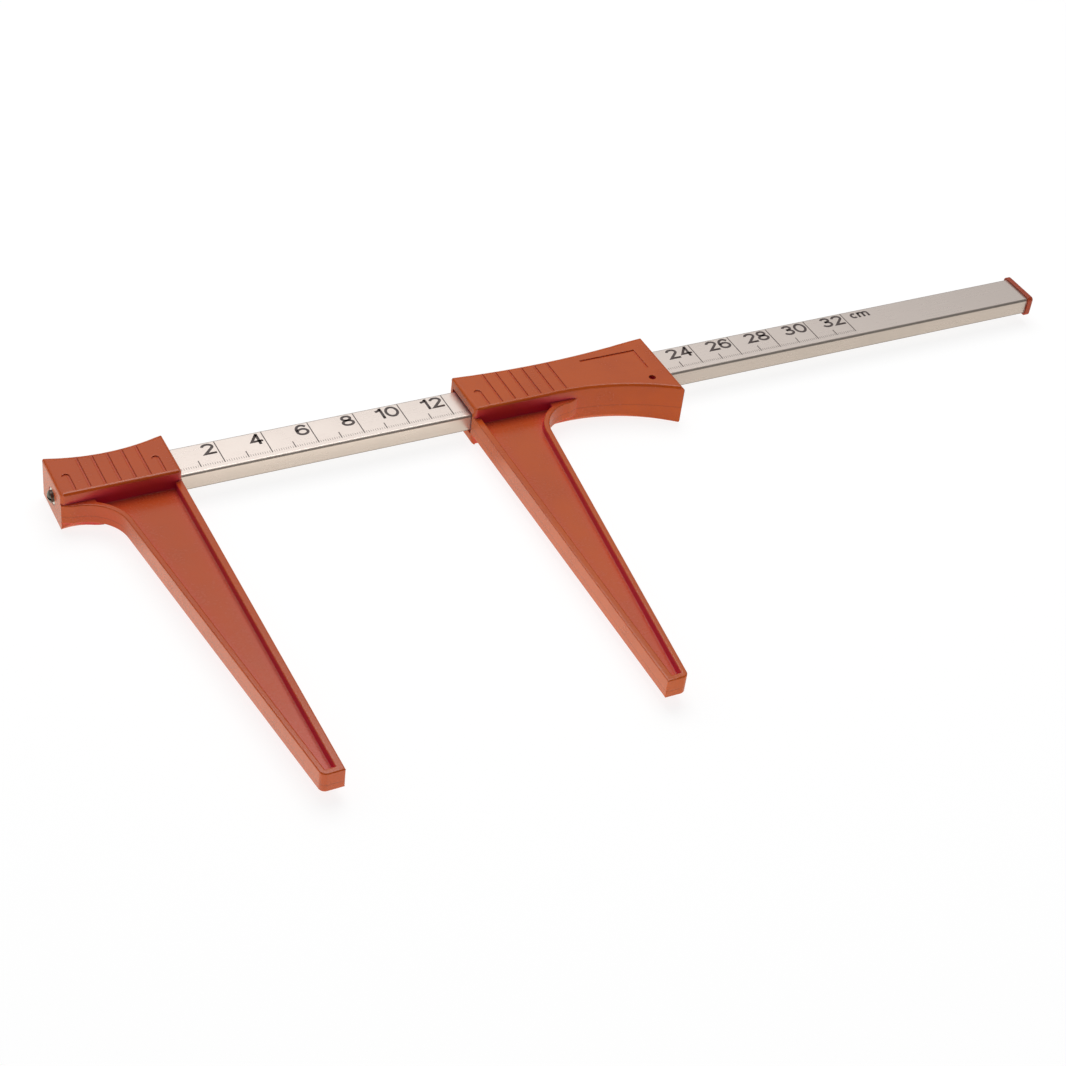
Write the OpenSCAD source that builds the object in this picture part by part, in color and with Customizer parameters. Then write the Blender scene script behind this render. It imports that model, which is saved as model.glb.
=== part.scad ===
// Log caliper: a hollow scale bar with a fixed jaw, a sliding jaw and an end cap.
// The bar lies along X with the scale face up, and both legs reach toward -Y.
// The origin is under the middle of the whole, on the plane that it rests on.

/* [Scale bar] */
// Width of the scale face
bar_w = 18; // [17:0.5:20]
// Thickness of the bar
bar_h = 8; // [7:0.5:9]
// Wall of the hollow bar
bar_wall = 1.2; // [1:0.1:1.4]
// Radius of the bar's long corners
bar_corner = 0.9; // [0.5:0.1:1]
// Length of bar beyond the fixed measuring face
bar_reach = 413; // [360:0.5:500]

/* [Jaw heads] */
// Plastic over the scale face, and the same under the bar
head_roof = 5.4; // [5:0.1:7]
// Plastic in front of the bar
front_wall = 3.2; // [2.8:0.1:4]
// Length of the fixed head
fixed_len = 48.6; // [46:0.2:56]
// Length of the sliding head
slide_len = 92; // [90:0.5:110]
// Plastic behind the bar at the fixed head's ends
fixed_corner = 3.2; // [2.8:0.1:5]
// Plastic behind the bar at the sliding head's inner end
inner_corner = 2.6; // [2.4:0.1:5]
// Plastic behind the bar at the sliding head's outer end
outer_corner = 3.7; // [3:0.1:5]
// Plastic behind the bar at the fixed head's waist
fixed_waist = 1.7; // [1.4:0.1:2.6]
// Plastic behind the bar at the sliding head's waist
slide_waist = 2.6; // [2.2:0.1:3]
// Radius of the fixed head's waist, seen from above
fixed_waist_r = 75; // [60:5:140]
// Radius of the sliding head's waist, seen from above
slide_waist_r = 350; // [250:10:600]
// Radius of the heads' back edges
grip_r = 4; // [3:0.25:5]
// Radius of the heads' lower front edges, where the fingers lie
roll_r = 4.8; // [3.5:0.1:4.9]
// Radius of the edges round the heads' ends
end_r = 1.6; // [1:0.1:2.2]
// Straight part of the sliding head's front wall
front_straight = 45; // [42:0.5:52]
// Angle at which the hollow part of that wall leaves the straight part
front_turn = 3; // [2:0.5:6]
// Radius of the hollow part of that wall
hollow_r = 103; // [90:1:140]
// Radius along which the sliding head's rounded lower front edge fades out toward its ends
scoop_r = 75; // [60:1:85]
// Place along the sliding head where that edge is rounded most
scoop_mid = 58; // [54:0.5:62]

/* [Grip grooves] */
// Distance between grooves on a head's upper face
groove_pitch = 6; // [5:0.1:6.4]
// Width of a groove
groove_w = 1; // [0.6:0.1:1.4]
// Depth of a groove
groove_d = 0.5; // [0.3:0.1:0.8]
// Full-length grooves on the fixed head
fixed_grooves = 5; // [4:1:5]
// Full-length grooves on the sliding head
slide_grooves = 6; // [4:1:6]
// Distance from the heads' front wall to the near end of the grooves
groove_margin = 1.8; // [1.4:0.1:3]
// Length of the short groove beside the full-length ones
short_groove = 9; // [7:0.5:11]

/* [Legs] */
// Distance from the bar's centre line to the leg tips
leg_reach = 179; // [150:1:210]
// Thickness of a leg over its rims
leg_t = 8.8; // [8:0.2:10]
// Thickness of the web between the rims
web_t = 2.2; // [1.8:0.1:3]
// Width of a leg at its tip
tip_w = 8.8; // [8.4:0.1:11]
// Taper of a leg's outer edge, in mm of width for each mm of length
leg_taper = 0.125; // [0.11:0.005:0.13]
// Radius of the tip's outer corner
tip_r = 2.6; // [1.5:0.1:3.5]
// Width of the rim behind the measuring face
face_rim = 3; // [2.4:0.1:3.4]
// Width of the rim along the outer edge
outer_rim = 2.4; // [2:0.1:3]
// Width of the rim across the tip
tip_rim = 2.6; // [2:0.1:3.5]
// Radius of the thumb hollow between leg and head
thumb_r = 17; // [15:0.5:18]
// How far the thumb hollow stops in front of the head's front wall
thumb_land = 1.8; // [1.6:0.1:3]
// Distance from the measuring face to the far end of the recess beside the head
recess_len = 35; // [32:0.5:37]

/* [Sliding jaw] */
// Reading in the position shown
reading = 126.5; // [60:0.5:200]
// Gap between the bar and the channel's side walls
side_gap = 0.5; // [0.4:0.05:0.6]
// Gap between the bar and the channel's roof and floor
roof_gap = 1; // [0.8:0.1:1.2]
// Running gap between the bar and what glides on it
run_gap = 0.2; // [0.15:0.05:0.3]
// Length of a glide pad along the bar
pad_len = 12; // [8:0.5:16]
// How deep a pad is let into the jaw
pad_seat = 1; // [0.8:0.1:1.2]
// Distance from the head's ends to the glide pads
pad_inset = 8; // [6:0.5:10]
// Width of the upper and lower pads
pad_w = 12; // [8:0.5:14]
// Height of the front and back pads
pad_h = 5; // [3:0.5:6]
// Diameter of the pegs that hold the upper and lower pads
peg_d = 3; // [2:0.25:4]
// Height of those pegs
peg_h = 1.6; // [1:0.1:2]
// Diameter of the lanyard hole
lanyard_d = 3; // [2.5:0.1:4]
// Distance from the sliding head's outer end to the lanyard hole
lanyard_in = 9.8; // [9:0.1:12]
// Distance from the bar's centre line to the lanyard hole
lanyard_front = 15; // [14:0.1:16]
// Length of the framed field on the sliding head
field_len = 26; // [15:0.5:28]
// Depth of the framed field, front to back
field_w = 13; // [8:0.5:14]
// Distance from the bar's centre line to the back of the framed field
field_back = 5.2; // [4:0.1:6]
// Distance from the sliding head's outer end to the framed field
field_in = 8.4; // [7:0.1:10]

/* [Friction brake] */
// Length of the brake shoe along the bar
shoe_len = 18; // [14:0.5:22]
// Width of the brake shoe
shoe_w = 10; // [7:0.5:13]
// Thickness of the brake shoe
shoe_t = 2; // [1.7:0.1:2.4]
// Thickness of the spring strip
spring_t = 0.3; // [0.2:0.05:0.4]
// Free height of the bowed spring
spring_rise = 1.6; // [1.2:0.1:1.8]
// Width of the spring strip
spring_w = 7; // [5:0.5:9]
// Distance from the shoe's ends to the spring's ends
spring_margin = 1; // [0.5:0.1:2]

/* [Fasteners and cap] */
// Thickness of the fixed head's end wall, behind the washer
end_wall = 2.8; // [2.6:0.1:3.5]
// Diameter of the jaw screw
screw_d = 3; // [2.5:0.5:3.5]
// Length of the jaw screw under its head
screw_len = 16; // [12:0.5:20]
// Diameter of the jaw screw's head
screw_head_d = 6; // [5:0.1:6.6]
// Height of the jaw screw's head
screw_head_h = 2; // [1.6:0.1:2.6]
// Diameter of the washer
washer_d = 7; // [6.6:0.2:9]
// Thickness of the washer
washer_t = 0.5; // [0.4:0.1:0.8]
// Depth of the washer's seat in the end wall
washer_seat = 0.6; // [0.4:0.1:1]
// Length of the threaded plug in the bar
plug_len = 22; // [20:0.5:30]
// Diameter of the pin that holds the plug
pin_d = 2.5; // [2:0.25:3]
// Distance from the pin to the plug's inner end
pin_in = 4; // [3:0.25:5]
// Thickness of the end cap's flange
cap_t = 4; // [3:0.1:6]
// How far the end cap's flange stands proud of the bar
cap_proud = 0.9; // [0.5:0.1:1.5]
// Corner radius of the end cap's flange
cap_r = 1.6; // [1:0.1:2.2]
// Length of the end cap's tongue inside the bar
cap_tongue = 14; // [10:0.5:20]
// Wall of the end cap's hollow tongue
cap_wall = 1.4; // [1:0.1:1.8]
// Clearance all round between pieces that slide together at assembly
fit = 0.1; // [0.05:0.01:0.15]

/* [Hidden] */
orange = "#c8552b";
aluminium = "#cfcac4";
steel = "#8c8a86";
dark_steel = "#4a4640";
glide_white = "#e6e2d6";
$fn = 64;
// Facets for the long, flat arcs
arc_fn = 720;
// Facets for the rounded edges that run along them
section_fn = 48;
// Face left between a rounded lower edge's cut and the wall that it comes nearest to
scoop_land = 0.1;
// Overlap of cutting tools past the faces they cut
cut = 1;
half_bar = bar_h / 2;
half_head = half_bar + head_roof;
head_t = 2 * half_head;
// Heads: distances from the bar's centre line
bar_side = bar_w / 2;
head_front = bar_side + front_wall;
fixed_back = bar_side + fixed_corner;
inner_back = bar_side + inner_corner;
outer_back = bar_side + outer_corner;
// Legs: secant of the taper, and the width at a distance y from the bar's centre line
taper_sec = sqrt(1 + leg_taper * leg_taper);
function leg_w(y) = tip_w + leg_taper * (leg_reach + y);
// Thumb hollow: its centre, with the arc tangent to the leg's outer edge
thumb_y = -(head_front + thumb_land + thumb_r);
thumb_x = -(leg_w(thumb_y) + thumb_r * taper_sec);
thumb_end_y = thumb_y + thumb_r * leg_taper / taper_sec;
// Tip's outer corner: centre of its arc
tip_y = -leg_reach + tip_r;
tip_x = -(leg_w(tip_y) - tip_r * taper_sec);
// Bar inside the fixed head
bar_start = -fixed_len + end_wall;
bore_w = bar_w - 2 * bar_wall;
bore_h = bar_h - 2 * bar_wall;
// Sliding head
slide_x = reading;
slide_end = slide_x + slide_len;
channel_w = bar_w + 2 * side_gap;
channel_h = bar_h + 2 * roof_gap;
roof_pad_t = roof_gap - run_gap + pad_seat;
side_pad_t = side_gap - run_gap + pad_seat;
pad_inner_x = slide_x + pad_inset;
pad_outer_x = slide_end - pad_inset - pad_len;
shoe_x = slide_x + (slide_len - shoe_len) / 2;
shoe_top = half_bar + run_gap + shoe_t;
brake_roof = shoe_top + spring_rise;
spring_span = shoe_len - 2 * spring_margin;
spring_r = (spring_span * spring_span / 4 + spring_rise * spring_rise) / (2 * spring_rise);
// Screw stack
washer_face = -fixed_len + washer_seat - washer_t;
screw_tip = washer_face + screw_len;
screw_slot_w = screw_d / 3;
screw_slot_d = screw_head_h / 2;
// Hollow part of the sliding head's front wall: its axis, and where it ends
hollow_x = slide_x + front_straight - hollow_r * sin(front_turn);
hollow_y = -head_front - hollow_r * cos(front_turn);
hollow_end_y = hollow_y + sqrt(hollow_r * hollow_r - (slide_end - hollow_x) * (slide_end - hollow_x));
// Whole
x_min = washer_face - screw_head_h;
x_max = bar_reach + cap_t;
y_max = max(fixed_back, inner_back, outer_back);
head_reach = leg_reach / 2;

module place() {
    translate([-(x_min + x_max) / 2, (leg_reach - y_max) / 2, half_head]) children();
}

// Sweeps an outline drawn in Y and Z along X
module along_x(x, length) {
    translate([x, 0, 0]) rotate([90, 0, 90]) linear_extrude(length) children();
}

// Sweeps an outline drawn in X and Z along Y, from y_from to y_to
module along_y(y_from, y_to) {
    translate([0, y_to, 0]) rotate([90, 0, 0]) linear_extrude(y_to - y_from) children();
}

module round_rect(w, h, r) {
    square([w - 2 * r, h], center = true);
    square([w, h - 2 * r], center = true);
    for (sx = [-1, 1], sy = [-1, 1]) translate([sx * (w / 2 - r), sy * (h / 2 - r)]) circle(r);
}

// Waisted back of a head with rounded edges, narrowest at x_mid
module waisted_back(x_mid, x_half, waist, waist_r) {
    sweep = asin(x_half / waist_r);
    translate([x_mid, bar_side + waist + waist_r, 0])
        rotate([0, 0, -90 - sweep])
            rotate_extrude(angle = 2 * sweep, $fn = arc_fn)
                translate([waist_r, 0]) back_section();
}

// Section of a head with its back at X = 0, solid toward +X
module back_section() {
    translate([grip_r, -half_head]) square([head_reach - grip_r, head_t]);
    translate([0, -half_head + grip_r]) square([head_reach, head_t - 2 * grip_r]);
    for (s = [-1, 1]) translate([grip_r, s * (half_head - grip_r)]) circle(grip_r, $fn = section_fn);
}

// Head with a waisted back and rounded ends, from its outline seen from above
module head(x_from, length, x_mid, waist, waist_r) {
    intersection() {
        waisted_back(x_mid, max(x_mid - x_from, x_from + length - x_mid) + cut, waist, waist_r);
        intersection() {
            along_y(-head_reach, y_max + cut)
                translate([x_from + length / 2, 0]) round_rect(length, head_t, end_r);
            linear_extrude(head_t + 2 * cut, center = true) children();
        }
    }
}

module fixed_head_outline() {
    translate([-fixed_len, -head_front]) square([fixed_len, head_front + fixed_back]);
}

module sliding_head_outline() {
    difference() {
        polygon([
            [slide_x, inner_back], [slide_x, -head_front], [slide_x + front_straight, -head_front],
            [slide_end, hollow_end_y], [slide_end, outer_back]
        ]);
        translate([hollow_x, hollow_y]) circle(hollow_r, $fn = arc_fn);
    }
}

// Ring-shaped cut that rounds a head's lower front edge, most where the ring comes nearest to the wall
module rolled_edge(ring_r) {
    translate([0, 0, -half_head])
        rotate_extrude($fn = arc_fn)
            translate([ring_r, 0])
                difference() {
                    translate([-cut, -cut]) square([roll_r + cut, roll_r + cut]);
                    translate([roll_r, roll_r]) circle(roll_r, $fn = section_fn);
                }
}

// Cut along the fixed head's front, round the axis of the thumb hollow
module thumb_scoop() {
    translate([thumb_x, thumb_y, 0]) rolled_edge(thumb_r + thumb_land - scoop_land);
}

// Cut along the sliding head's hollow front
module finger_scoop() {
    translate([hollow_x, hollow_y, 0])
        rotate([0, 0, -asin((slide_x + scoop_mid - hollow_x) / hollow_r)])
            translate([0, hollow_r - scoop_r - scoop_land, 0]) rolled_edge(scoop_r);
}

// Leg seen from above, with its measuring face at X = 0 and its outer edge toward -X
module leg_outline() {
    difference() {
        union() {
            polygon([
                [0, 0], [0, -leg_reach], [tip_x, -leg_reach],
                [tip_x - tip_r / taper_sec, tip_y - tip_r * leg_taper / taper_sec],
                [-leg_w(thumb_end_y), thumb_end_y], [thumb_x, thumb_end_y],
                [thumb_x, thumb_y + thumb_r], [-fixed_len, -head_front], [-fixed_len, 0]
            ]);
            translate([tip_x, tip_y]) circle(tip_r);
        }
        translate([thumb_x, thumb_y]) circle(thumb_r);
    }
}

// Recess between the rims, seen from above
module leg_recess() {
    inner_reach = leg_reach - tip_rim;
    difference() {
        polygon([
            [-face_rim, 0], [-face_rim, -inner_reach],
            [-leg_w(-inner_reach) + outer_rim, -inner_reach],
            [-leg_w(thumb_y) + outer_rim, thumb_y], [-recess_len, thumb_y], [-recess_len, 0]
        ]);
        translate([thumb_x, thumb_y]) circle(thumb_r + outer_rim * taper_sec);
    }
}

// I-section leg: rims round a thin web
module leg() {
    difference() {
        linear_extrude(leg_t, center = true) leg_outline();
        for (s = [0, 1]) mirror([0, 0, s]) translate([0, 0, web_t / 2]) linear_extrude(leg_t) leg_recess();
    }
}

// One groove across the upper face of a head
module groove(x, y_from, y_to) {
    translate([x - groove_w / 2, y_from, half_head - groove_d])
        cube([groove_w, y_to - y_from, groove_d + cut]);
}

// Short groove with a turned end, as it stands beside the full-length grooves
module hooked_groove(x) {
    y_near = -head_front + groove_margin;
    y_far = y_near + short_groove;
    hook_inner = groove_w / 2;
    hook_outer = hook_inner + groove_w;
    groove(x, y_near, y_far);
    translate([x - groove_w, y_far, half_head - groove_d])
        difference() {
            cylinder(h = groove_d + cut, r = hook_outer);
            translate([0, 0, -cut]) cylinder(h = groove_d + 3 * cut, r = hook_inner);
            translate([-hook_outer - cut, -hook_outer - cut, -cut])
                cube([2 * (hook_outer + cut), hook_outer + cut, groove_d + 3 * cut]);
        }
}

// Row of grooves: a short hooked one, then the full-length ones toward +X
module groove_row(x, count) {
    hooked_groove(x);
    for (i = [1 : count]) groove(x + i * groove_pitch, -head_front + groove_margin, y_max + cut);
}

// Hollow rectangular bar
module scale_bar() {
    color(aluminium)
        difference() {
            along_x(bar_start, bar_reach - bar_start)
                difference() {
                    round_rect(bar_w, bar_h, bar_corner);
                    square([bore_w, bore_h], center = true);
                }
            pin_place() cylinder(h = bar_h + 2 * cut, d = pin_d + 2 * fit, center = true);
        }
}

// Fixed jaw: head, leg and the blind socket for the bar
module fixed_jaw() {
    x_mid = -fixed_len / 2;
    groove_x = x_mid - (fixed_grooves + 1) * groove_pitch / 2;
    color(orange)
        difference() {
            union() {
                difference() {
                    head(-fixed_len, fixed_len, x_mid, fixed_waist, fixed_waist_r) fixed_head_outline();
                    thumb_scoop();
                }
                leg();
            }
            along_x(bar_start, fixed_len) round_rect(bar_w + 2 * fit, bar_h + 2 * fit, bar_corner);
            translate([-fixed_len - cut, 0, 0])
                rotate([0, 90, 0]) cylinder(h = end_wall + 2 * cut, d = screw_d + 4 * fit);
            translate([-fixed_len - cut, 0, 0])
                rotate([0, 90, 0]) cylinder(h = washer_seat + cut, d = washer_d + 4 * fit);
            groove_row(groove_x, fixed_grooves);
            hooked_groove(groove_x + (fixed_grooves + 1) * groove_pitch);
        }
}

// Threaded plug pressed into the bar's near end
module bar_plug() {
    color(aluminium)
        difference() {
            along_x(bar_start, plug_len) square([bore_w - 2 * fit, bore_h - 2 * fit], center = true);
            translate([bar_start - cut, 0, 0])
                rotate([0, 90, 0]) cylinder(h = plug_len + 2 * cut, d = screw_d + 2 * fit);
            pin_place() cylinder(h = bar_h + 2 * cut, d = pin_d + 2 * fit, center = true);
        }
}

module pin_place() {
    translate([bar_start + plug_len - pin_in, 0, 0]) children();
}

// Pin through the bar and the plug, flush with the bar's faces
module plug_pin() {
    color(steel)
        pin_place() cylinder(h = bar_h, d = pin_d, center = true);
}

// Slotted pan-head screw through the end wall
module jaw_screw() {
    color(dark_steel)
        translate([washer_face, 0, 0])
            rotate([0, 90, 0])
                difference() {
                    union() {
                        cylinder(h = screw_len, d = screw_d);
                        translate([0, 0, -screw_head_h]) screw_head();
                    }
                    translate([-screw_slot_w / 2, -screw_head_d, -screw_head_h - cut])
                        cube([screw_slot_w, 2 * screw_head_d, screw_slot_d + cut]);
                }
}

// Domed screw head, with its top at Z = 0
module screw_head() {
    rim_r = screw_head_d / 2;
    dome_r = (rim_r * rim_r + screw_slot_d * screw_slot_d) / (2 * screw_slot_d);
    intersection() {
        cylinder(h = screw_head_h, r = rim_r);
        translate([0, 0, dome_r]) sphere(dome_r);
    }
}

// Plain washer under the screw's head
module jaw_washer() {
    color(steel)
        translate([washer_face, 0, 0])
            rotate([0, 90, 0])
                difference() {
                    cylinder(h = washer_t, d = washer_d);
                    translate([0, 0, -cut]) cylinder(h = washer_t + 2 * cut, d = screw_d + 2 * fit);
                }
}

// End cap: a flange over the bar's end and a hollow tongue inside it
module end_cap() {
    tongue_w = bore_w - 2 * fit;
    tongue_h = bore_h - 2 * fit;
    color(orange) {
        along_x(bar_reach, cap_t) round_rect(bar_w + 2 * cap_proud, bar_h + 2 * cap_proud, cap_r);
        along_x(bar_reach - cap_tongue, cap_tongue)
            difference() {
                square([tongue_w, tongue_h], center = true);
                square([tongue_w - 2 * cap_wall, tongue_h - 2 * cap_wall], center = true);
            }
    }
}

// Sliding head without its channel
module sliding_head() {
    x_mid = slide_x + front_straight - groove_pitch;
    difference() {
        head(slide_x, slide_len, x_mid, slide_waist, slide_waist_r) sliding_head_outline();
        finger_scoop();
    }
}

// Sliding jaw: head, leg, channel with pad seats, brake pocket and lanyard hole
module sliding_jaw() {
    field_x = slide_end - field_in;
    color(orange)
        difference() {
            union() {
                sliding_head();
                translate([slide_x, 0, 0]) mirror([1, 0, 0]) leg();
            }
            along_x(slide_x - cut, slide_len + 2 * cut) square([channel_w, channel_h], center = true);
            for (x = [pad_inner_x, pad_outer_x]) {
                for (s = [0, 1]) {
                    mirror([0, 0, s]) roof_pad(x, fit);
                    mirror([0, s, 0]) side_pad(x, fit);
                }
            }
            brake_block(shoe_x, shoe_len, shoe_w, half_bar, brake_roof, fit);
            translate([slide_end - lanyard_in, -lanyard_front, 0])
                cylinder(h = head_t + 2 * cut, d = lanyard_d, center = true);
            groove_row(slide_x + groove_pitch + groove_w, slide_grooves);
            groove(field_x, field_back - field_w, field_back);
            translate([field_x - field_len, field_back - groove_w / 2, half_head - groove_d])
                cube([field_len + groove_w / 2, groove_w, groove_d + cut]);
        }
}

// Box over the bar's middle line, with room all round
module brake_block(x, length, width, z_from, z_to, room) {
    translate([x - room, -width / 2 - room, z_from])
        cube([length + 2 * room, width + 2 * room, z_to - z_from]);
}

// Upper or lower pad with its peg; room is the clearance round it in its seat
module roof_pad(x, room) {
    z_top = half_bar + run_gap + roof_pad_t;
    translate([x - room, -pad_w / 2 - room, z_top - roof_pad_t])
        cube([pad_len + 2 * room, pad_w + 2 * room, roof_pad_t]);
    translate([x + pad_len / 2, 0, z_top - pad_seat]) cylinder(h = pad_seat + peg_h, d = peg_d + 2 * room);
}

// Front or back pad, drawn at the back; room is the clearance round it in its seat
module side_pad(x, room) {
    translate([x - room, bar_side + run_gap, -pad_h / 2 - room])
        cube([pad_len + 2 * room, side_pad_t, pad_h + 2 * room]);
}

module front_glide_inner() {
    color(glide_white) mirror([0, 1, 0]) side_pad(pad_inner_x, 0);
}

module front_glide_outer() {
    color(glide_white) mirror([0, 1, 0]) side_pad(pad_outer_x, 0);
}

module back_glide_inner() {
    color(glide_white) side_pad(pad_inner_x, 0);
}

module back_glide_outer() {
    color(glide_white) side_pad(pad_outer_x, 0);
}

module upper_glide_inner() {
    color(glide_white) roof_pad(pad_inner_x, 0);
}

module upper_glide_outer() {
    color(glide_white) roof_pad(pad_outer_x, 0);
}

module lower_glide_inner() {
    color(glide_white) mirror([0, 0, 1]) roof_pad(pad_inner_x, 0);
}

module lower_glide_outer() {
    color(glide_white) mirror([0, 0, 1]) roof_pad(pad_outer_x, 0);
}

// Brake shoe over the scale face
module brake_shoe() {
    color(glide_white) brake_block(shoe_x, shoe_len, shoe_w, half_bar + run_gap, shoe_top, 0);
}

// Bowed spring strip between the shoe and the roof of its pocket
module brake_spring() {
    color(steel)
        translate([shoe_x + shoe_len / 2, 0, brake_roof - spring_r])
            intersection() {
                rotate([90, 0, 0])
                    difference() {
                        cylinder(h = spring_w, r = spring_r, center = true);
                        cylinder(h = spring_w + 2 * cut, r = spring_r - spring_t, center = true);
                    }
                translate([-spring_span / 2, -spring_w, spring_r - spring_rise])
                    cube([spring_span, 2 * spring_w, spring_rise + cut]);
            }
}

place() scale_bar();
place() fixed_jaw();
place() bar_plug();
place() plug_pin();
place() jaw_screw();
place() jaw_washer();
place() end_cap();
place() sliding_jaw();
place() front_glide_inner();
place() front_glide_outer();
place() back_glide_inner();
place() back_glide_outer();
place() upper_glide_inner();
place() upper_glide_outer();
place() lower_glide_inner();
place() lower_glide_outer();
place() brake_shoe();
place() brake_spring();
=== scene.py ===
"""Log caliper: the visible pieces, their finishes and the studio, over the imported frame.

The jaws, the end cap, the screw and the washer are rounded copies of their solids. The bar and
its printed scale are new meshes, and the inner pieces keep their solids and get finishes.
"""

import math

import bmesh
import bpy
from mathutils import Matrix, Vector


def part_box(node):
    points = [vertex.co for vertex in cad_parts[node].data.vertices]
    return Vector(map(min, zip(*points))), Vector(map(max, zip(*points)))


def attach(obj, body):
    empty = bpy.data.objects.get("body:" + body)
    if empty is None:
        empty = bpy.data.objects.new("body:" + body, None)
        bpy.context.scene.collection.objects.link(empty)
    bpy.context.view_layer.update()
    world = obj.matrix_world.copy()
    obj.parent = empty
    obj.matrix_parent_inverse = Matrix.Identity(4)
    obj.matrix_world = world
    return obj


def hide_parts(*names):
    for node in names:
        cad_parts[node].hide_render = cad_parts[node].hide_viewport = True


bl_info = {
    "name": "Log Caliper",
    "version": (1, 0, 0),
    "blender": (4, 5, 0),
    "location": "View3D > Sidebar > Caliper",
    "description": "Builds a log caliper with a printed centimetre scale and two moulded jaws",
    "category": "Add Mesh",
}

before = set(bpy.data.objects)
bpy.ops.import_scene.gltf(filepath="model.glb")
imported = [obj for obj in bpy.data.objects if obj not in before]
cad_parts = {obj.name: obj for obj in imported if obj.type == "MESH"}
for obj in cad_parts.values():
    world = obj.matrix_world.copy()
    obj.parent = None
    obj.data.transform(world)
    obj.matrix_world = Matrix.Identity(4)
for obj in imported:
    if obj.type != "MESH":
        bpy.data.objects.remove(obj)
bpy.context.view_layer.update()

# Places taken from the solids
MM = 0.001
BAR_LOW, BAR_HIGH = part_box("scale_bar")
FIXED_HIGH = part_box("fixed_jaw")[1]
SLIDING_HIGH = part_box("sliding_jaw")[1]
BAR_MIDDLE_Y = (BAR_LOW.y + BAR_HIGH.y) / 2
BAR_MIDDLE_Z = (BAR_LOW.z + BAR_HIGH.z) / 2
BAR_MIDDLE = Vector((0.0, BAR_MIDDLE_Y, BAR_MIDDLE_Z))
# The scale counts from the fixed jaw's measuring face
SCALE_ZERO = FIXED_HIGH.x
# Heights of the legs' faces and of their webs
LEG_HALF, WEB_HALF = 4.4 * MM, 1.1 * MM
LEG_FACES = (BAR_MIDDLE_Z + LEG_HALF, BAR_MIDDLE_Z - LEG_HALF)
WEB_FACES = (BAR_MIDDLE_Z + WEB_HALF, BAR_MIDDLE_Z - WEB_HALF)
# Front wall of the heads beside their ends
HEAD_FRONT = BAR_LOW.y - 3.2 * MM
# Axis of the lanyard hole, and a radius just outside its rim
HOLE = Vector((SLIDING_HIGH.x - 9.8 * MM, BAR_LOW.y - 6.0 * MM, 0.0))
HOLE_RIM = 2.0 * MM
# Walls lower than this belong to the grip grooves
GROOVE_LIMIT = 1.0 * MM
# The grooves' distance from a leg's tip and from the bar's back edge
GROOVE_FRONT, GROOVE_BACK = 168.0 * MM, 3.0 * MM
# Half height of a channel mouth, its room beside the bar and its shortest edge
MOUTH_HALF, MOUTH_ROOM, MOUTH_EDGE = 5.2 * MM, 0.7 * MM, 3.0 * MM
# Depth of the zone at a jaw's tip and back whose upright corners are rounded
CORNER_ZONE = 2.0 * MM
# Play at the fasteners' rims and seat, and a radius just outside the screw's shank
FASTENER_PLAY, SHANK_RIM = 0.05 * MM, 2.0 * MM

# Tolerances for doubles, for edges in a plane, for cuts and for slivers
MERGE, NEAR, SLACK, SLIVER = 0.02 * MM, 0.04 * MM, 0.02 * MM, 0.01 * MM
CUT = 0.001 * MM
# Angles below which faces are one, above which an edge is rounded, and below which it is smooth
FLAT, SHARP, SMOOTH = math.radians(0.4), math.radians(30.0), math.radians(32.0)
# Segments of the rounded edges
LIP_STEPS, EDGE_STEPS, SMALL_STEPS, BAR_STEPS = 5, 4, 3, 6
# Segments of a blunted corner, and the rise over which it starts
BLUNT_STEPS, BLUNT_RISE = 5, 0.06 * MM

# Reach of the shade in a jaw's recesses and in its corners
RECESS_REACH, CORNER_REACH = 14.0 * MM, 1.2 * MM
# Distances from the bar's middle where the heads' grooved faces end and recesses start
FACE_LEVEL, DEEP_LEVEL = 8.85 * MM, 8.5 * MM
# Half width of the mould's parting line where it fades out and where it is full
SEAM_FADE, SEAM_CORE = 0.30 * MM, 0.10 * MM
# Second colours of the finishes
BAR_STAIN = (0.62, 0.57, 0.52, 1.0)
BAR_RUB = (0.9, 0.88, 0.86, 1.0)
# Painted dark reflection along the bar's rounded edges
BAR_EDGE_SHADE = (0.25, 0.21, 0.18, 1.0)
INK_WORN = (0.25, 0.22, 0.20, 1.0)
GLIDE_GREY = (0.42, 0.40, 0.37, 1.0)
PAPER_PALE = (0.84, 0.84, 0.84, 1.0)
PAPER_DULL = (0.80, 0.80, 0.80, 1.0)
WHITE = (1.0, 1.0, 1.0, 1.0)
WARM_WHITE = (1.0, 0.95, 0.85, 1.0)
# Colour inputs and output of a Mix node
MIX_FIRST, MIX_SECOND, MIX_RESULT = 6, 7, 2

# Millimetres between marks and between long marks, and centimetres between numerals
MARK_STEP, LONG_STEP = 10, 20
NUMERAL_STEP = LONG_STEP // MARK_STEP
# Degrees in one segment of a figure's arc
ARC_STEP = 12
# Tolerance for doubles in a figure and width of the unit's strokes, their height 1
FIGURE_MERGE, UNIT_STROKE = 1e-4, 0.29
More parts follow.
